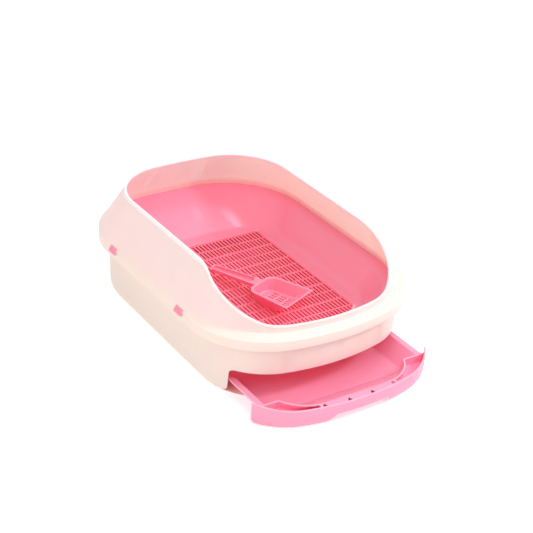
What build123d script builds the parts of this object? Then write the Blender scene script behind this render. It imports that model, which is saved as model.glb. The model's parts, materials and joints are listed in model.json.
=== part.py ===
"""Two-layer litter tray: a base tub with a drawer, a sieve pan, a splash guard with rim clips, and a scoop.

Millimetres, +Z up. The front, with the low entry and the drawer, faces -Y.
The origin lies on the floor under the middle of the tub.
"""

import os
from math import cos, degrees, radians, sin, tan

from build123d import *

os.makedirs("parts", exist_ok=True)

# Rim outline, the widest plan of the tray: straight sides, bowed ends and round corners
rim_width = 366
rim_length = 520
front_corner = 122
back_corner = 136
front_bow_angle = 13.5
back_bow_angle = 4.5

# Base tub
tub_height = 104
tub_wall = 2.5
tub_floor = 3
foot_round = 20
rim_flare = 9
neck_side = 16
neck_front = 8
tub_draft = 4
seat_width = 2
rail_height = 4
rail_width = 2.5
rail_length = 240

# Drawer bay in the front of the tub
bay_play = 2.5
bay_height = 50
bay_depth = 95
bay_round = 6

# Splash guard
skirt_wall = 3.4
skirt_height = 15.5
shoulder_rise = 4
guard_rise = 64.5
entry_rise = 7.5
guard_wall = 2.6
foot_side = 3
foot_front = 16
foot_back = 4.5
foot_front_corner = 138
foot_back_corner = 133
foot_splay = 1.6
lean_side = 36
lean_front = 25
lean_back = 41
crown_front_corner = 100
crown_back_corner = 98
entry_set = 26
entry_sill_radius = 51
entry_brow_radius = 74
entry_angle = 26.5

# Sieve pan and its slotted floor
pan_wall = 1.2
pan_flange = 2.4
pan_funnel_width = 12
pan_funnel_drop = 5.4
pan_depth = 46
pan_floor_side = 50
pan_floor_front = 85
pan_floor_back = 99
pan_floor_corner = 60
pan_round = 20
grate_margin = 24
grate_front_margin = 12
grate_frame = 3
slot_pitch = 6.6
row_pitch = 50
slot_width = 3.4
thick_rib = 4.4
thin_rib = 2.2

# Drawer tray, which stands pulled out of its bay
drawer_pull = 69
drawer_height = 30
drawer_side = 46
drawer_end = 61.5
drawer_side_slope = 19
drawer_wall = 2.2
drawer_back_corner = 50
drawer_back_slope = 20
lip_width = 10
web_reach = 51
nose_corner = 62
nose_slope = 41.5
nose_floor_corner = 14
ledge_width = 15
ledge_length = 136

# Drawer front
panel_wall = 2.5
panel_round = 18
panel_rise = 1.5
panel_foot = 1
ear_height = 43
ear_flare = 7
ear_run = 72.5
ear_length = 56
notch_length = 120
notch_height = 8.5
notch_ramp = 10
catch_count = 4
catch_pitch = 41
catch_width = 8
catch_depth = 5
catch_sink = 1.6

# Rim clips
clip_length = 20
clip_height = 8.5
clip_wall = 2.6
clip_proud = 1.2
clip_flare = 3.6
clip_end = 157
clip_drop = 1.4
clip_barrel = 3.2
clip_pin = 1.6
clip_pin_length = 1.6

# Scoop, which lies on the slotted floor
scoop_width = 58
scoop_mouth = 70
scoop_length = 76
scoop_depth = 22
scoop_wall = 2
scoop_flare = 8
scoop_heel = 3
scoop_nose = 26
scoop_corner = 14
scoop_lip = 1.4
scoop_lip_height = 2
handle_length = 94
handle_root = 18
handle_tip = 13
handle_depth = 7
handle_bridge = 10
handle_fall = 9
hang_hole = 4
scoop_slot_length = 12
scoop_slot_width = 4
scoop_slot_columns = 6
scoop_slot_rows = 4
scoop_slot_pitch = 6.4
scoop_row_pitch = 14.5
scoop_side = 4.5
scoop_set = 116
scoop_turn = 69

# Clearances
seat_play = 0.6
slide_play = 0.3
pin_play = 0.08
front_play = 0.7
clip_play = 0.5
funnel_play = 1.4

# Levels and places that follow from the sizes above
half_width = rim_width / 2
half_length = rim_length / 2
neck_height = tub_height - rim_flare
pan_floor_height = tub_height - pan_depth
flange_top = tub_height + pan_flange
skirt_inset = skirt_wall + seat_play
skirt_top = neck_height + skirt_height
step_height = skirt_top + shoulder_rise
guard_height = step_height + guard_rise
guard_low = step_height + entry_rise


def bow(half, radius, angle):
    """Radius of a bowed end that meets corners of the given radius at the given angle off its middle."""
    return radius + (half - radius) / sin(radians(angle))


def plan(side, front, back, front_radius, back_radius):
    """Outline drawn in from the rim: straight sides, round corners, and ends bowed through a fixed angle."""
    half = half_width - side
    front_bow = bow(half, front_radius, front_bow_angle)
    back_bow = bow(half, back_radius, back_bow_angle)
    front_centre = front - half_length + front_bow
    back_centre = half_length - back - back_bow
    front_y = front_centre - (front_bow - front_radius) * cos(radians(front_bow_angle))
    back_y = back_centre + (back_bow - back_radius) * cos(radians(back_bow_angle))
    with BuildSketch() as outline:
        with BuildLine():
            CenterArc((0, front_centre), front_bow, -90, front_bow_angle)
            front_turn = 90 - front_bow_angle
            CenterArc((half - front_radius, front_y), front_radius, -front_turn, front_turn)
            Line((half, front_y), (half, back_y))
            back_turn = 90 - back_bow_angle
            CenterArc((half - back_radius, back_y), back_radius, 0, back_turn)
            CenterArc((0, back_centre), back_bow, back_turn, back_bow_angle)
            mirror(about=Plane.YZ)
        make_face()
    return outline.sketch


def rim_plan(inset):
    """The rim's own outline, drawn in evenly."""
    return plan(inset, inset, inset, front_corner - inset, back_corner - inset)


def tub_plan(height, inset):
    """Outline of the tub wall at a height below the neck, drawn in from its outer face."""
    draw = tub_draft * (neck_height - height) / neck_height + inset
    side = neck_side + draw
    return plan(side, neck_front + draw, side, front_corner - side, back_corner - side)


def foot_plan(inset):
    """Outline of the guard wall's foot, rounder than the rim, drawn in from its outer face."""
    front_radius = foot_front_corner - inset
    back_radius = foot_back_corner - inset
    return plan(foot_side + inset, foot_front + inset, foot_back + inset, front_radius, back_radius)


def crown_plan(inset):
    """Outline of the guard wall's top edge, drawn in from its outer face."""
    side = foot_side + lean_side + inset
    front = foot_front + lean_front + inset
    back = foot_back + lean_back + inset
    return plan(side, front, back, crown_front_corner - inset, crown_back_corner - inset)


def stack(*levels):
    """Solid ruled between outlines that are given as pairs of height and sketch, from the bottom up."""
    with BuildPart() as body:
        for (low, below), (high, above) in zip(levels, levels[1:]):
            with BuildSketch(Plane.XY.offset(low)):
                add(below)
            with BuildSketch(Plane.XY.offset(high)):
                add(above)
            loft(ruled=True)
    return body.part


# Base tub: drafted walls on a rounded foot, a flared rim, a drawer bay in the front and two guide rails
drawer_half = half_width - drawer_side
drawer_floor_half = drawer_half - drawer_side_slope
lip_half = drawer_half + lip_width
with BuildPart() as tub_inside:
    add(stack((tub_floor, tub_plan(0, tub_wall)), (neck_height, tub_plan(neck_height, tub_wall))))
    fillet(tub_inside.edges().group_by(Axis.Z)[0], foot_round - tub_wall)
    add(
        stack(
            (neck_height, tub_plan(neck_height, tub_wall)),
            (tub_height, rim_plan(skirt_inset + seat_width)),
        )
    )

with BuildPart() as base_tub:
    add(stack((0, tub_plan(0, 0)), (neck_height, tub_plan(neck_height, 0))))
    fillet(base_tub.edges().group_by(Axis.Z)[0], foot_round)
    add(
        stack(
            (neck_height, tub_plan(neck_height, 0)),
            (tub_height - tub_wall, rim_plan(skirt_inset)),
            (tub_height, rim_plan(skirt_inset)),
        )
    )
    add(tub_inside.part, mode=Mode.SUBTRACT)
    with BuildSketch(Plane.XZ.offset(half_length)):
        with Locations((0, (tub_floor + bay_height) / 2)):
            RectangleRounded(2 * (lip_half + bay_play), bay_height - tub_floor, bay_round)
    extrude(amount=-bay_depth, mode=Mode.SUBTRACT)
    with BuildSketch(Plane.XY.offset(tub_floor)):
        with GridLocations(2 * (drawer_floor_half + bay_play + rail_height) + rail_width, 0, 2, 1):
            Rectangle(rail_width, rail_length)
    extrude(amount=rail_height)
base_tub.part.label = "base_tub"
export_step(base_tub.part, "parts/base_tub.step")

# Sieve pan: a flange on the tub's rim, a funnel and walls that round into a flat floor with a window
grate_half = half_width - pan_floor_side - grate_margin
grate_back = half_length - pan_floor_back - grate_margin
grate_front = half_length - pan_floor_front - grate_front_margin
grate_length = grate_back + grate_front
grate_middle = (grate_back - grate_front) / 2
funnel_top = guard_wall + funnel_play
funnel_foot = funnel_top + pan_funnel_width


def sieve_floor_plan(inset):
    """Outline of the sieve pan's flat floor, drawn in from its edge."""
    corner = pan_floor_corner - inset
    return plan(pan_floor_side + inset, pan_floor_front + inset, pan_floor_back + inset, corner, corner)


funnel_height = flange_top - pan_funnel_drop
funnel_under = funnel_height - pan_flange
with BuildPart() as pan_inside:
    add(stack((pan_floor_height, sieve_floor_plan(0)), (funnel_height, foot_plan(funnel_foot))))
    fillet(pan_inside.edges().group_by(Axis.Z)[0], pan_round)
    add(stack((funnel_height, foot_plan(funnel_foot)), (flange_top, foot_plan(funnel_top))))

with BuildPart() as sieve_pan:
    pan_under = sieve_floor_plan(-pan_wall)
    add(stack((pan_floor_height - pan_flange, pan_under), (funnel_under, foot_plan(funnel_foot - pan_wall))))
    fillet(sieve_pan.edges().group_by(Axis.Z)[0], pan_round)
    add(stack((funnel_under, foot_plan(funnel_foot - pan_wall)), (tub_height, foot_plan(funnel_top))))
    add(stack((tub_height, rim_plan(skirt_inset)), (flange_top, rim_plan(skirt_inset))))
    add(pan_inside.part, mode=Mode.SUBTRACT)
    with BuildSketch(Plane.XY.offset(pan_floor_height)):
        with Locations((0, grate_middle)):
            Rectangle(2 * (grate_half + grate_frame), grate_length + 2 * grate_frame)
    extrude(amount=-pan_flange, mode=Mode.SUBTRACT)
sieve_pan.part.label = "sieve_pan"
export_step(sieve_pan.part, "parts/sieve_pan.step")

# Slotted floor that fills the pan's window: slots run front to back between thick and thin cross ribs
slot_columns = round(2 * grate_half / slot_pitch)
slot_rows = round(grate_length / row_pitch)
slot_length = (row_pitch - thick_rib - thin_rib) / 2
with BuildPart() as sieve_grate:
    with BuildSketch(Plane.XY.offset(pan_floor_height)):
        with Locations((0, grate_middle)):
            Rectangle(2 * (grate_half + grate_frame), grate_length + 2 * grate_frame)
            with GridLocations(0, row_pitch, 1, slot_rows):
                with GridLocations(slot_pitch, slot_length + thin_rib, slot_columns, 2):
                    Rectangle(slot_width, slot_length, mode=Mode.SUBTRACT)
    extrude(amount=-pan_flange)
sieve_grate.part.label = "sieve_grate"
export_step(sieve_grate.part, "parts/sieve_grate.step")

# Splash guard: a skirt over the rim, a shoulder and a wall that leans in, high behind and low at the entry
window_height = clip_height + 2 * clip_play
window_length = clip_length + 2 * clip_play
window_middle = step_height - clip_drop - window_height / 2
pivot_x = half_width - skirt_wall / 2
pivot_z = window_middle + clip_height / 2 - clip_barrel / 2
clip_offset = half_length - clip_end
entry_end = half_length - entry_set
entry_radii = entry_sill_radius + entry_brow_radius
entry_fall = guard_height - guard_low - entry_radii * (1 - cos(radians(entry_angle)))
entry_run = entry_radii * sin(radians(entry_angle)) + entry_fall / tan(radians(entry_angle))
entry_start = entry_end - entry_run
with BuildPart() as splash_guard:
    add(
        stack(
            (neck_height, rim_plan(0)),
            (skirt_top, rim_plan(0)),
            (step_height, foot_plan(0)),
            (guard_height, crown_plan(0)),
        )
    )
    add(stack((neck_height, rim_plan(skirt_wall)), (flange_top, rim_plan(skirt_wall))), mode=Mode.SUBTRACT)
    add(
        stack(
            (flange_top, foot_plan(guard_wall - foot_splay)),
            (step_height, foot_plan(guard_wall)),
            (guard_height, crown_plan(guard_wall)),
        ),
        mode=Mode.SUBTRACT,
    )
    with BuildSketch(Plane.YZ):
        with BuildLine():
            sill_centre = (-entry_end, guard_low + entry_sill_radius)
            sill = CenterArc(sill_centre, entry_sill_radius, -90, entry_angle)
            brow_centre = (-entry_start, guard_height - entry_brow_radius)
            brow = CenterArc(brow_centre, entry_brow_radius, 90, entry_angle)
            Line(sill @ 1, brow @ 1)
            Polyline(sill @ 0, (-half_length, guard_low), (-half_length, guard_height), brow @ 0)
        make_face()
    extrude(amount=half_width, both=True, mode=Mode.SUBTRACT)
    with Locations((0, 0, window_middle)):
        with GridLocations(2 * pivot_x, 2 * clip_offset, 2, 2):
            Box(skirt_wall, window_length, window_height, mode=Mode.SUBTRACT)
    with Locations((0, 0, pivot_z)):
        with GridLocations(2 * pivot_x, 2 * clip_offset, 2, 2):
            Cylinder(
                clip_pin / 2 + pin_play,
                window_length + 2 * clip_pin_length,
                rotation=(90, 0, 0),
                mode=Mode.SUBTRACT,
            )
splash_guard.part.label = "splash_guard"
export_step(splash_guard.part, "parts/splash_guard.step")

# Rim clips: a flared thumb plate under a barrel whose pins turn in the ends of the guard's windows
plate_foot = clip_height - clip_barrel / 2
plate_back = clip_barrel / 2 - clip_wall + clip_flare
plate_face = skirt_wall / 2 + clip_flare
for name, side, row in (
    ("rim_clip_left_rear", -1, 1),
    ("rim_clip_left_front", -1, -1),
    ("rim_clip_right_rear", 1, 1),
    ("rim_clip_right_front", 1, -1),
):
    hinge = Plane((side * pivot_x, row * clip_offset, pivot_z), x_dir=(side, 0, 0), z_dir=(0, -side, 0))
    with BuildPart() as rim_clip:
        with BuildSketch(hinge):
            with BuildLine():
                Polyline(
                    (0, clip_barrel / 2),
                    (0, -clip_barrel / 2),
                    (plate_back, -plate_foot),
                    (plate_face, -plate_foot),
                )
                ThreePointArc(
                    (plate_face, -plate_foot),
                    (plate_face / 2 + clip_proud, -plate_foot / 2),
                    (0, clip_barrel / 2),
                )
            make_face()
            Circle(clip_barrel / 2)
        extrude(amount=clip_length / 2, both=True)
        with BuildSketch(hinge):
            Circle(clip_pin / 2)
        extrude(amount=clip_length / 2 + clip_pin_length, both=True)
    rim_clip.part.label = name
    export_step(rim_clip.part, f"parts/{name}.step")

# Drawer, drawn shut against the tub's front and then placed pulled out
shut_draw = tub_draft * (neck_height - ear_height) / neck_height
panel_y = neck_front + shut_draw - front_play - half_length
nose_y = panel_y + ledge_width
web_y = panel_y + web_reach
drawer_back = half_length - drawer_end
drawer_foot = tub_floor + slide_play
drawer_floor = drawer_foot + drawer_wall


def out(height):
    """Level plane of the drawer as it stands pulled out."""
    return Plane((0, -drawer_pull, height))


def panel_plan(inset):
    """Outline of the drawer front: its outer face, flared at the ears, drawn in by the inset."""
    draw = shut_draw - front_play - panel_wall + inset
    side = neck_side + draw
    wide = side - ear_flare
    return plan(wide, neck_front + draw, wide, front_corner - side, back_corner - side)


def tray_plan(half, front, back, front_radius, back_radius):
    """Straight-sided outline with round corners."""
    with BuildSketch() as outline:
        with Locations((0, front)):
            Rectangle(2 * half, back - front, align=(Align.CENTER, Align.MIN))
        fillet(outline.vertices().group_by(Axis.Y)[0], front_radius)
        fillet(outline.vertices().group_by(Axis.Y)[-1], back_radius)
    return outline.sketch


def tray_body(skin, foot, top):
    """The tray's hollow, or its outside when given a skin: splayed sides and a sloping nose."""
    floor_corner = drawer_back_corner - drawer_back_slope
    floor_back = drawer_back - drawer_back_slope + skin
    front = web_y - skin
    with BuildPart() as body:
        with BuildSketch(out(foot)):
            add(tray_plan(drawer_floor_half + skin, front, floor_back, drawer_wall, floor_corner))
        with BuildSketch(out(top)):
            add(tray_plan(drawer_half + skin, front, drawer_back + skin, drawer_wall, drawer_back_corner))
        loft(ruled=True)
        nose = nose_y - skin
        with BuildSketch(out(foot)):
            add(tray_plan(drawer_floor_half + skin, nose + nose_slope, 0, nose_floor_corner, drawer_wall))
        with BuildSketch(out(top)):
            add(tray_plan(drawer_floor_half + skin, nose, 0, nose_corner, drawer_wall))
        loft(ruled=True)
    return body.part


# Triangular catches along the ledge, on the panel's own bow
panel_half = half_width - neck_side - shut_draw + front_play + ear_flare
panel_corner = front_corner - neck_side - shut_draw + front_play
panel_bow = bow(panel_half, panel_corner, front_bow_angle)
catch_turn = degrees(catch_pitch / panel_bow)


def catches(spare, root):
    """Catch triangles on the panel's inner face, larger by spare and rooted in the panel by root."""
    half = catch_width / 2 + spare
    with BuildSketch() as marks:
        with Locations((0, panel_y + panel_bow)):
            spread = catch_turn * (catch_count - 1)
            with PolarLocations(panel_bow, catch_count, -90 - spread / 2, spread, endpoint=True):
                Polygon((root, -half), (root, half), (-catch_depth - spare, 0), align=None)
    return marks.sketch


# Drawer tray: a lip along the sides and back, pockets at the corners and a ledge that carries the front
web_front = web_y - drawer_wall
web_foot = panel_round - panel_wall - front_play
nose_rim = nose_y - drawer_wall
lip_corner = drawer_back_corner + lip_width
with BuildPart() as drawer_tray:
    add(tray_body(drawer_wall / 2, drawer_foot, drawer_height - drawer_wall))
    with BuildSketch(out(drawer_height)):
        add(tray_plan(lip_half, web_front, drawer_back + lip_width, drawer_wall, lip_corner))
        add(tray_plan(drawer_floor_half + drawer_wall, nose_rim, 0, nose_corner + drawer_wall, drawer_wall))
        with Locations((0, nose_y)):
            Rectangle(ledge_length, 2 * ledge_width)
        add(panel_plan(panel_wall), mode=Mode.INTERSECT)
        add(catches(slide_play, 0), mode=Mode.SUBTRACT)
    extrude(amount=-drawer_wall)
    with BuildSketch(out(drawer_height)):
        with Locations((0, web_y)):
            Rectangle(2 * panel_half, drawer_wall, align=(Align.CENTER, Align.MAX))
        add(panel_plan(panel_wall), mode=Mode.INTERSECT)
    extrude(amount=web_foot - drawer_height)
    with BuildSketch(out(web_foot)):
        with Locations((0, web_y)):
            Rectangle(2 * panel_half, web_reach, align=(Align.CENTER, Align.MAX))
        add(panel_plan(panel_wall), mode=Mode.INTERSECT)
    extrude(amount=drawer_wall)
    add(tray_body(0, drawer_floor, drawer_height), mode=Mode.SUBTRACT)
drawer_tray.part.label = "drawer_tray"
export_step(drawer_tray.part, "parts/drawer_tray.step")

# Drawer front: a bowed panel with a rounded foot, raised ears, a finger notch and catches in the ledge
panel_top = drawer_height + panel_rise
with BuildPart() as panel_inside:
    with BuildSketch(out(-front_play)):
        add(panel_plan(panel_wall))
    extrude(amount=ear_height + front_play)
    fillet(panel_inside.edges().group_by(Axis.Z)[0], panel_round - panel_wall)

with BuildPart() as drawer_front:
    with BuildSketch(out(-front_play - panel_wall)):
        add(panel_plan(0))
    extrude(amount=ear_height + front_play + panel_wall)
    fillet(drawer_front.edges().group_by(Axis.Z)[0], panel_round)
    add(panel_inside.part, mode=Mode.SUBTRACT)
    with BuildSketch(Plane.XZ.offset(drawer_pull + panel_wall - panel_y)):
        with BuildLine():
            notch_half = notch_length / 2
            notch_top = panel_foot + notch_height
            Polyline(
                (0, notch_top),
                (notch_half - notch_ramp, notch_top),
                (notch_half, panel_foot),
                (half_width, panel_foot),
                (half_width, ear_height),
                (panel_half, ear_height),
            )
            TangentArc((panel_half - ear_run, panel_top), (panel_half, ear_height), tangent=(1, 0))
            Line((panel_half - ear_run, panel_top), (0, panel_top))
            mirror(about=Plane.YZ)
        make_face()
    extrude(amount=-ear_length, mode=Mode.INTERSECT)
    with BuildSketch(out(drawer_height - catch_sink)):
        add(catches(0, panel_wall / 2))
    extrude(amount=catch_sink - drawer_wall)
drawer_front.part.label = "drawer_front"
export_step(drawer_front.part, "parts/drawer_front.step")

# Scoop: a slotted bowl that widens to its rising nose, and a trough-shaped handle that falls back
rest = Plane((-scoop_side, scoop_set - grate_front, pan_floor_height)).rotated((0, 0, -scoop_turn))
rim = rest.offset(scoop_depth)
grip = rim.rotated((0, -handle_fall, 0))
bowl_end = scoop_length - scoop_nose


def bowl_plan(start, end, inset, corner):
    """Bowl outline along the scoop, drawn in at the sides, with round corners at the handle's end."""
    widening = (scoop_mouth - scoop_width) / scoop_length
    near = (scoop_width + widening * start) / 2 - inset
    far = (scoop_width + widening * end) / 2 - inset
    with BuildSketch() as outline:
        with BuildLine():
            Polyline((start, -near), (end, -far), (end, far), (start, near), close=True)
        make_face()
        fillet(outline.vertices().group_by(Axis.X)[0], corner)
    return outline.sketch


def handle_plan(inset, start):
    """Tapered handle outline with round ends, drawn in by the inset."""
    with BuildSketch() as outline:
        with Locations((-start - handle_root / 2, 0)):
            Circle(handle_root / 2 - inset)
        with Locations((handle_tip / 2 - handle_length, 0)):
            Circle(handle_tip / 2 - inset)
        make_hull()
    return outline.sketch


bowl_floor = bowl_plan(scoop_heel, bowl_end, scoop_flare, scoop_corner)
bowl_mouth = bowl_plan(scoop_wall, scoop_length - scoop_lip, scoop_wall, scoop_corner)
with BuildPart() as litter_scoop:
    with BuildSketch(rest):
        add(bowl_floor)
    with BuildSketch(rim):
        add(bowl_plan(0, scoop_length, 0, scoop_corner))
    loft(ruled=True)
    with BuildSketch(rim):
        add(bowl_plan(-scoop_lip, scoop_length, -scoop_lip, scoop_corner + scoop_lip))
    extrude(amount=-scoop_lip_height)
    with BuildSketch(grip):
        add(handle_plan(0, -handle_root))
    extrude(amount=-handle_depth)
    with BuildSketch(rest.offset(scoop_wall)):
        add(bowl_floor)
    with BuildSketch(rim):
        add(bowl_mouth)
    loft(ruled=True, mode=Mode.SUBTRACT)
    with BuildSketch(rim):
        add(bowl_mouth)
    extrude(amount=handle_depth, mode=Mode.SUBTRACT)
    with BuildSketch(grip):
        add(handle_plan(scoop_wall, handle_bridge))
    extrude(amount=scoop_wall - handle_depth, mode=Mode.SUBTRACT)
    with BuildSketch(grip):
        with Locations((handle_tip - handle_length, 0)):
            Circle(hang_hole / 2)
    extrude(amount=-2 * handle_depth, mode=Mode.SUBTRACT)
    with BuildSketch(rest):
        with Locations((bowl_end - scoop_row_pitch / 2, 0)):
            with GridLocations(scoop_row_pitch, scoop_slot_pitch, scoop_slot_rows, scoop_slot_columns):
                Rectangle(scoop_slot_length, scoop_slot_width)
    extrude(amount=scoop_depth, mode=Mode.SUBTRACT)
litter_scoop.part.label = "litter_scoop"
export_step(litter_scoop.part, "parts/litter_scoop.step")
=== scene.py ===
"""Two-layer litter tray in moulded polypropylene, dressed and lit in a small studio.

Metres, +Z up, with the low entry and the drawer to the front at -Y.
"""

import json
from math import cos, radians, sin

import bpy
from mathutils import Matrix, Vector

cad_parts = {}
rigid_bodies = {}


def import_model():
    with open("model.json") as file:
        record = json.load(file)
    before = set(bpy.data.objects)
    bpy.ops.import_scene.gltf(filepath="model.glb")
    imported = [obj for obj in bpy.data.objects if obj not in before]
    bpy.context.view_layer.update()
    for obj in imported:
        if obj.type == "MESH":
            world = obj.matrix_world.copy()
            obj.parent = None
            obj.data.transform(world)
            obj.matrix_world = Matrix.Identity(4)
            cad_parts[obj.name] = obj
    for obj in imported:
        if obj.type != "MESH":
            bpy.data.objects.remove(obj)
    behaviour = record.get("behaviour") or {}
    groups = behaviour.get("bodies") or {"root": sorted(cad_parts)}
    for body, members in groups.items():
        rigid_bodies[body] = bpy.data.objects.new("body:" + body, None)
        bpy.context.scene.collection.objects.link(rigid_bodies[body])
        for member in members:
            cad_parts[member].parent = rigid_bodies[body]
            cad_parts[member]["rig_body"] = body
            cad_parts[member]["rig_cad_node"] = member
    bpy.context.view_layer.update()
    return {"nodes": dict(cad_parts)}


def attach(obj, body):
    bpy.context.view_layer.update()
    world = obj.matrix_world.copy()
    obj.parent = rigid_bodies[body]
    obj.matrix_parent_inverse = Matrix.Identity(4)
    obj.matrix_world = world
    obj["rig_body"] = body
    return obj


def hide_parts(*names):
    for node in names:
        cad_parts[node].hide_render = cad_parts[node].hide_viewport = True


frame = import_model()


# Base tub: one deep injection moulding in cream polypropylene that stands on the floor and carries the rest.
# It is open at the top for the sieve pan and in front for the drawer. Its walls have a fine spark-eroded grain,
# and its edges keep the small radius of the mould.
def merged_copy(source):
    """Copies a CAD node, merges its loose triangles and leaves the copy selected all over in edit mode."""
    weld = 0.00002
    bpy.ops.object.select_all(action="DESELECT")
    source.select_set(True)
    bpy.context.view_layer.objects.active = source
    bpy.ops.object.duplicate()
    copy = bpy.context.object
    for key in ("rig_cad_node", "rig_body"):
        del copy[key]
    bpy.ops.object.mode_set(mode="EDIT")
    bpy.ops.mesh.select_all(action="SELECT")
    bpy.ops.mesh.customdata_custom_splitnormals_clear()
    bpy.ops.mesh.remove_doubles(threshold=weld)
    return copy


def soften(name, radius):
    """Makes the moulding that replaces a CAD node, with its edges rounded as the mould leaves them."""
    flat, sharp, smooth = radians(0.4), radians(32), radians(30)
    source = frame["nodes"][name]
    piece = merged_copy(source)
    piece.name = name + "_moulding"
    bpy.ops.mesh.dissolve_limited(angle_limit=flat)
    bpy.ops.object.mode_set(mode="OBJECT")
    bpy.ops.object.modifier_add(type="BEVEL")
    edge = piece.modifiers[-1]
    edge.width = radius
    edge.segments = 3
    edge.limit_method = "ANGLE"
    edge.angle_limit = sharp
    bpy.ops.object.modifier_apply(modifier=edge.name)
    bpy.ops.object.shade_smooth_by_angle(angle=smooth)
    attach(piece, source["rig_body"])
    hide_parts(name)
    return piece


def linear(code):
    """Linear colour of an sRGB hex value."""
    parts = [int(code[i:i + 2], 16) / 255 for i in (1, 3, 5)]
    return [v / 12.92 if v <= 0.04045 else ((v + 0.055) / 1.055) ** 2.4 for v in parts] + [1]


def wire(owner, node, inputs):
    """Sets each named input of a node to a value, or links it from another node's socket."""
    for key, value in inputs.items():
        if isinstance(value, bpy.types.NodeSocket):
            owner.node_tree.links.new(value, node.inputs[key])
        else:
            node.inputs[key].default_value = value


def add(owner, kind, inputs, **settings):
    """Adds a node with its settings, values and links to a material or world, and returns it."""
    node = owner.node_tree.nodes.new(kind)
    for name, value in settings.items():
        setattr(node, name, value)
    wire(owner, node, inputs)
    return node


def polypropylene(name, colour, shade, edge, roughness, grain, milk, glow, depth):
    """Moulded polypropylene: a slight drift of colour along the flow, a painted highlight on the edges and a fine
    eroded grain.

    A share of the light, milk, enters the resin and spreads up to the depth, each colour as far as glow says.
    """
    drift = 111.1  # millimetres from one streak of the flow to the next
    pits = 0.909  # millimetres from pit to pit, coarser than the real grain of about 0.05, so that it shows
    pit_depth = 0.0002
    # Painted highlight: the edge colour is laid along rounded edges, up to this far from them.
    highlight_width = 0.0026
    flat, bent, brightest_highlight = 0.98, 0.78, 0.85  # how far true and rounded normals agree, and the strongest tint
    smoother, rougher = 0.05, 0.06
    refraction = 1.49  # typical of polypropylene

    material = bpy.data.materials.new(name)
    material.use_nodes = True
    place = add(material, "ShaderNodeTexCoord", {}).outputs["Object"]
    flow = add(material, "ShaderNodeTexNoise", {"Vector": place, "Scale": 1000 / drift, "Detail": 3})
    body = add(material, "ShaderNodeMix",
               {"Factor": flow.outputs["Fac"], 6: linear(colour), 7: linear(shade)}, data_type="RGBA")
    rounded = add(material, "ShaderNodeBevel", {"Radius": highlight_width}, samples=4)
    true = add(material, "ShaderNodeNewGeometry", {})
    match = add(material, "ShaderNodeVectorMath",
                {0: rounded.outputs["Normal"], 1: true.outputs["Normal"]}, operation="DOT_PRODUCT")
    rim = add(material, "ShaderNodeMapRange",
              {"Value": match.outputs["Value"], "From Min": flat, "From Max": bent, "To Max": brightest_highlight})
    # Painted highlight: the edge colour is mixed over the body colour along the edges.
    tint = add(material, "ShaderNodeMix",
               {"Factor": rim.outputs["Result"], 6: body.outputs[2], 7: linear(edge)}, data_type="RGBA")
    worn = add(material, "ShaderNodeMapRange",
               {"Value": flow.outputs["Fac"], "To Min": roughness - smoother, "To Max": roughness + rougher})
    speckle = add(material, "ShaderNodeTexNoise", {"Vector": place, "Scale": 1000 / pits, "Detail": 2})
    bump = add(material, "ShaderNodeBump",
               {"Height": speckle.outputs["Fac"], "Strength": grain, "Distance": pit_depth})
    wire(material, material.node_tree.nodes["Principled BSDF"], {
        "Base Color": tint.outputs[2],
        "Roughness": worn.outputs["Result"],
        "Normal": bump.outputs["Normal"],
        "IOR": refraction,
        "Subsurface Weight": milk,
        "Subsurface Radius": glow,
        "Subsurface Scale": depth,
    })
    return material


def finish(piece, material):
    """Gives a piece its one material."""
    piece.data.materials.clear()
    piece.data.materials.append(material)


# Cream polypropylene from an eroded mould: matt and a little waxy, with a warm glow inside the wall and a painted
# highlight along its edges.
cream = polypropylene(
    "cream polypropylene", colour="#FFEBE1", shade="#FEE6DB", edge="#FFF6F1",
    roughness=0.42, grain=0.12, milk=0.5, glow=(1, 0.5, 0.3), depth=0.006)
tub = soften("base_tub", radius=0.0008)
finish(tub, cream)

# Sieve pan: a thin moulding in pink polypropylene, with round corners, that hangs by its flange on the tub's rim.
# Its mould was polished, so that litter slides off and the walls wipe clean.
pan = soften("sieve_pan", radius=0.0006)
# Thin pink polypropylene from a polished mould: glossy, with clear highlights in the corners and a painted
# highlight along its edges.
thin = polypropylene(
    "thin pink polypropylene", colour="#FF9EB6", shade="#FF97B0", edge="#FFD5DF",
    roughness=0.2, grain=0.04, milk=0.1, glow=(1, 0.1, 0.12), depth=0.004)
finish(pan, thin)


# Sieve grate: the slotted floor of the pan, where waste falls through to the drawer.
# It is moulded with the pan, in the same pink polypropylene, as rows of short ribs with a small round on top.
def height_on(material):
    """Socket that gives the height of each point of a piece above the floor."""
    place = add(material, "ShaderNodeTexCoord", {})
    return add(material, "ShaderNodeSeparateXYZ", {"Vector": place.outputs["Object"]}).outputs["Z"]


def tint_by_height(material, start, end, code):
    """Blends a material's colour into another between two heights, and returns the other's share."""
    shader = material.node_tree.nodes["Principled BSDF"]
    plain = shader.inputs["Base Color"].links[0].from_socket
    share = add(material, "ShaderNodeMapRange",
                {"Value": height_on(material), "From Min": start, "From Max": end}).outputs["Result"]
    blend = add(material, "ShaderNodeMix", {"Factor": share, 6: plain, 7: linear(code)}, data_type="RGBA")
    wire(material, shader, {"Base Color": blend.outputs[2]})
    return share


# Pink polypropylene in thin ribs: satin on top, with a painted highlight on the rib edges, and painted shade in
# deep red down in the slots, for the light that has passed through rib after rib.
ribbed = polypropylene(
    "thin pink polypropylene ribs", colour="#FF8098", shade="#FF7690", edge="#FFB8C8",
    roughness=0.3, grain=0.06, milk=0.1, glow=(1, 0.1, 0.12), depth=0.004)
grate = soften("sieve_grate", radius=0.0003)
grate_top = max(corner.co.z for corner in grate.data.vertices)
round_ends, slot_begins = 0.0004, 0.0009
# Painted shade: below the ribs' round tops the colour turns deep red.
tint_by_height(ribbed, grate_top - round_ends, grate_top - slot_begins, "#FF3A55")
finish(grate, ribbed)


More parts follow.
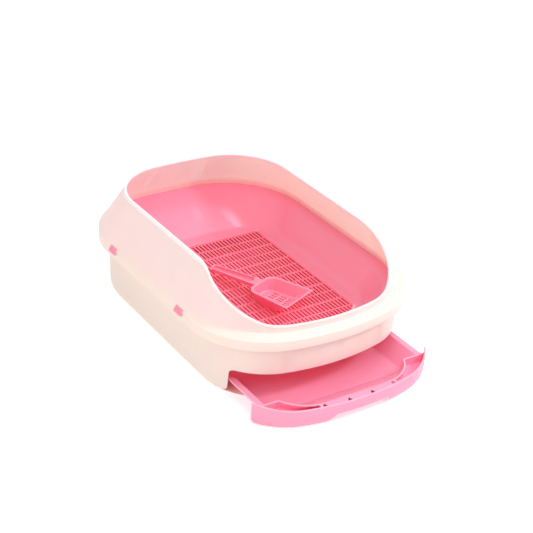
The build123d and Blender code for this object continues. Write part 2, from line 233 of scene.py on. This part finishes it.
# Splash guard: a tall cream moulding that leans in over the pan and dips to a low entry in front.
# Its skirt sits over the pan's flange, and its free edge is rolled outwards, so that it is stiff and kind to paws.
def combine(piece, tool, operation, label):
    """Joins a tool's shape to a piece or cuts it from the piece, and removes the tool."""
    step = piece.modifiers.new(label, "BOOLEAN")
    step.object = tool
    step.operation = operation
    bpy.context.view_layer.objects.active = piece
    bpy.ops.object.modifier_apply(modifier=step.name)
    bpy.data.objects.remove(tool)


# Thin cream polypropylene: matt, and so thin above the skirt that daylight and the pan's pink shine through.
# The skirt is doubled by the flange and lets little through, and the thick roll at the crown lets little through
# and is painted nearly white as a highlight.
milk, dense = 0.9, 0.1
skirt_top, wall_foot = 0.112, 0.12
roll_foot, roll_middle = 0.1735, 0.1755
# Its edges carry a painted highlight in the edge colour.
milky = polypropylene(
    "thin milky cream polypropylene", colour="#FFECDF", shade="#FFE7DA", edge="#FFF8F4",
    roughness=0.42, grain=0.12, milk=milk, glow=(1, 0.88, 0.66), depth=0.011)
wall = add(milky, "ShaderNodeMapRange", {"Value": height_on(milky), "From Min": skirt_top, "From Max": wall_foot,
                                         "To Min": dense, "To Max": milk})
# Painted highlight: the roll is tinted nearly white from its foot to its middle, where light falls on its top.
crown_highlight = tint_by_height(milky, roll_foot, roll_middle, "#FFFDFB")
clear = add(milky, "ShaderNodeMapRange", {"Value": crown_highlight, "To Min": 1, "To Max": dense})
weight = add(milky, "ShaderNodeMath", {0: wall.outputs["Result"], 1: clear.outputs["Result"]},
             operation="MULTIPLY")
wire(milky, milky.node_tree.nodes["Principled BSDF"], {"Subsurface Weight": weight.outputs["Value"]})

# The roll follows the line where the wall's narrow top meets its outer face, which leans and so looks up too.
roll_radius = 0.0022
level, squarely = 0.85, 0.02  # least upward and greatest sideways part of the top's normal
bead = merged_copy(frame["nodes"]["splash_guard"])
bpy.ops.mesh.select_mode(type="EDGE")
bpy.ops.mesh.select_all(action="DESELECT")
bpy.ops.object.mode_set(mode="OBJECT")
beside = {}
for face in bead.data.polygons:
    on_top = face.normal.z > level and abs(face.normal.x) < squarely and face.center.z > wall_foot
    for key in face.edge_keys:
        beside.setdefault(key, []).append((on_top, face.normal.z > 0))
for line in bead.data.edges:
    line.select = (True, True) in beside[line.key] and (False, True) in beside[line.key]
bpy.ops.object.mode_set(mode="EDIT")
bpy.ops.mesh.select_all(action="INVERT")
bpy.ops.mesh.delete(type="EDGE")
bpy.ops.mesh.select_mode(type="VERT")
bpy.ops.object.mode_set(mode="OBJECT")
bpy.ops.object.convert(target="CURVE")
bead.data.bevel_depth = roll_radius
bead.data.bevel_resolution = 2
bpy.ops.object.convert(target="MESH")
guard = soften("splash_guard", radius=0.0008)
combine(guard, bead, "UNION", "rolled edge")
bpy.ops.object.select_all(action="DESELECT")
guard.select_set(True)
bpy.ops.object.shade_smooth_by_angle(angle=radians(40))
finish(guard, milky)

# Rim clips: four small thumb latches, each a solid moulding in pink polypropylene.
# They turn on their own pins in windows of the guard's skirt, and a thumb lifts them by their flared foot.
corners = ("left_rear", "left_front", "right_rear", "right_front")
clips = [soften("rim_clip_" + corner, radius=0.0002) for corner in corners]
# Pink polypropylene: satin, evenly coloured, with a painted highlight along its edges.
pink = polypropylene(
    "pink polypropylene", colour="#FF98B0", shade="#FF8FA9", edge="#FFDCE5",
    roughness=0.3, grain=0.06, milk=0.12, glow=(1, 0.3, 0.3), depth=0.003)
for clip in clips:
    finish(clip, pink)

# Drawer tray: a shallow moulding in rosy polypropylene that slides on the tub's floor and catches what falls.
# It has a lip all round, and a front ledge that follows the bow of the drawer's front, with four three-sided
# holes for the catches.
tray = soften("drawer_tray", radius=0.0006)
front_middle = -0.32
front_bow = 1.3  # metres that the bow lies back, times the square of the way from the middle
ledge_height = 0.029
hole, hole_depth = 0.007, 0.008
for across in (-0.061, -0.0204, 0.0204, 0.061):
    back_here = front_bow * across ** 2
    turn_here = 2 * front_bow * across
    bpy.ops.mesh.primitive_cone_add(
        vertices=3, radius1=hole, radius2=hole, depth=hole_depth,
        location=(across, front_middle + back_here + hole / 2, ledge_height), rotation=(0, 0, turn_here))
    combine(tray, bpy.context.object, "DIFFERENCE", "catch hole")
# Rosy polypropylene, a cooler pink than the pan's: satin, with a painted highlight along its lips and edges.
rosy = polypropylene(
    "rosy polypropylene", colour="#FFA9C4", shade="#FFA1BD", edge="#FFE6EE",
    roughness=0.3, grain=0.06, milk=0.12, glow=(1, 0.3, 0.3), depth=0.003)
finish(tray, rosy)


# Drawer front: a bowed panel with two ears, moulded by itself in the tray's pink polypropylene.
# It is clipped to the tray's ledge by its catches, and a notch under it takes the fingers.
def pick(piece, wanted):
    """Selects the corners of the active piece that a test on their place names, and leaves it in edit mode."""
    bpy.ops.object.mode_set(mode="EDIT")
    bpy.ops.mesh.select_all(action="DESELECT")
    bpy.ops.object.mode_set(mode="OBJECT")
    for corner in piece.data.vertices:
        corner.select = wanted(corner.co)
    bpy.ops.object.mode_set(mode="EDIT")


panel = soften("drawer_front", radius=0.0006)
notch_width, notch_taper, notch_through = 0.1248, 0.705, 0.04
notch_foot, notch_top = -0.001, 0.0145
notch_middle = (notch_foot + notch_top) / 2
bpy.ops.mesh.primitive_cube_add(size=1, location=(0, front_middle, notch_middle),
                                scale=(notch_width, notch_through, notch_top - notch_foot))
notch = bpy.context.object
bpy.ops.object.transform_apply(location=True, rotation=False, scale=True)
pick(notch, lambda place: place.z > notch_middle)
bpy.ops.transform.resize(value=(notch_taper, 1, 1), center_override=(0, front_middle, notch_top))
bpy.ops.object.mode_set(mode="OBJECT")
combine(panel, notch, "DIFFERENCE", "finger notch")

# The catches are set lower, so that the holes in the ledge stay open above them.
catch_reach, catch_low, catch_high, catch_drop = 0.075, 0.0276, 0.0286, 0.003
pick(panel, lambda place: abs(place.x) < catch_reach and catch_low < place.z < catch_high)
bpy.ops.transform.translate(value=(0, 0, -catch_drop))
bpy.ops.object.mode_set(mode="OBJECT")
finish(panel, rosy)

# Scoop: one small slotted moulding with a trough for a handle, loose on the floor of the pan.
# It is made of the same pink polypropylene as the clips.
scoop = soften("litter_scoop", radius=0.0005)
finish(scoop, pink)


# Studio floor: a wide sweep of white paper that the tray stands on.
# It takes the tray's soft shadow, and shows nearly white to the camera and in gloss.
def shown_rays(owner):
    """Socket that is 1 for the rays that show a surface, straight, in gloss or through glass, and else 0."""
    ray = add(owner, "ShaderNodeLightPath", {})
    seen = add(owner, "ShaderNodeMath", {0: ray.outputs["Is Camera Ray"], 1: ray.outputs["Is Glossy Ray"]},
               operation="MAXIMUM")
    shown = add(owner, "ShaderNodeMath", {0: seen.outputs["Value"], 1: ray.outputs["Is Transmission Ray"]},
                operation="MAXIMUM")
    return shown.outputs["Value"]


# Uncoated paper: matt and off-white, with half of its whiteness its own, so that the shadow stays light.
floor_size = 12
bpy.ops.mesh.primitive_plane_add(size=floor_size, location=(0, 0, 0))
floor = bpy.context.object
floor.name = "studio_floor"
paper = bpy.data.materials.new("white paper sweep")
paper.use_nodes = True
wire(paper, paper.node_tree.nodes["Principled BSDF"], {
    "Base Color": linear("#F4F2F1"),
    "Roughness": 0.9,
    "Emission Color": linear("#BCBCBC"),
    "Emission Strength": shown_rays(paper),
})
floor.data.materials.append(paper)


# Studio light: an even white room and four square soft boxes at one distance from the tray.
# A small key to the right draws the highlights, a wide one to the left is warm, and two cooler ones fill from
# the front and from high on the right.
def towards(azimuth, elevation):
    """Direction from the tray to a place round it, in degrees to the right of the front and up from the floor."""
    turn, rise = radians(azimuth), radians(elevation)
    return Vector((sin(turn) * cos(rise), -cos(turn) * cos(rise), sin(rise)))


room_light, room_white = 0.56, 1
world = bpy.data.worlds.new("white studio")
bpy.context.scene.world = world
world.use_nodes = True
room = add(world, "ShaderNodeMapRange", {"Value": shown_rays(world), "To Min": room_light, "To Max": room_white})
wire(world, world.node_tree.nodes["Background"], {"Color": linear("#FFFFFF"), "Strength": room.outputs["Result"]})
lamp_distance = 2.2
for name, azimuth, elevation, size, power, tone in (
    ("key", 54, 40, 0.35, 14, "#F6F7FF"),
    ("left", -75, 24, 1.4, 10, "#FFF6F0"),
    ("front", -10, 55, 1.2, 11, "#F0F3FF"),
    ("right", 86, 70, 0.5, 7, "#F0F3FF"),
):
    back = towards(azimuth, elevation)
    bpy.ops.object.light_add(type="AREA", location=back * lamp_distance,
                             rotation=back.to_track_quat("Z", "Y").to_euler())
    lamp = bpy.context.object
    lamp.name = name + "_soft_box"
    lamp.data.shape = "SQUARE"
    lamp.data.size = size
    lamp.data.energy = power
    lamp.data.color = linear(tone)[:3]

# Camera: stands to the front left and above, as for the photograph, and is tilted a little to one side.
# Its place and lens were found by fitting the tray's outline. Many bounces keep the pink of the hollows.
target = Vector((0.03658, -0.0038, 0.07649))
camera_distance, camera_roll = 2.041, radians(3.95)
film_width, picture_width, focal_pixels = 36, 533, 1272.8
back = towards(-35.06, 28.95)
turn = back.to_track_quat("Z", "Y").to_matrix() @ Matrix.Rotation(camera_roll, 3, "Z")
bpy.ops.object.camera_add(location=target + back * camera_distance, rotation=turn.to_euler())
camera = bpy.context.object
camera.data.sensor_width = film_width
camera.data.lens = focal_pixels * film_width / picture_width
camera.data.clip_end = 50
bpy.context.scene.camera = camera
bpy.context.scene.view_settings.view_transform = "Standard"
bpy.context.scene.cycles.diffuse_bounces = 12
bpy.context.scene.cycles.max_bounces = 16
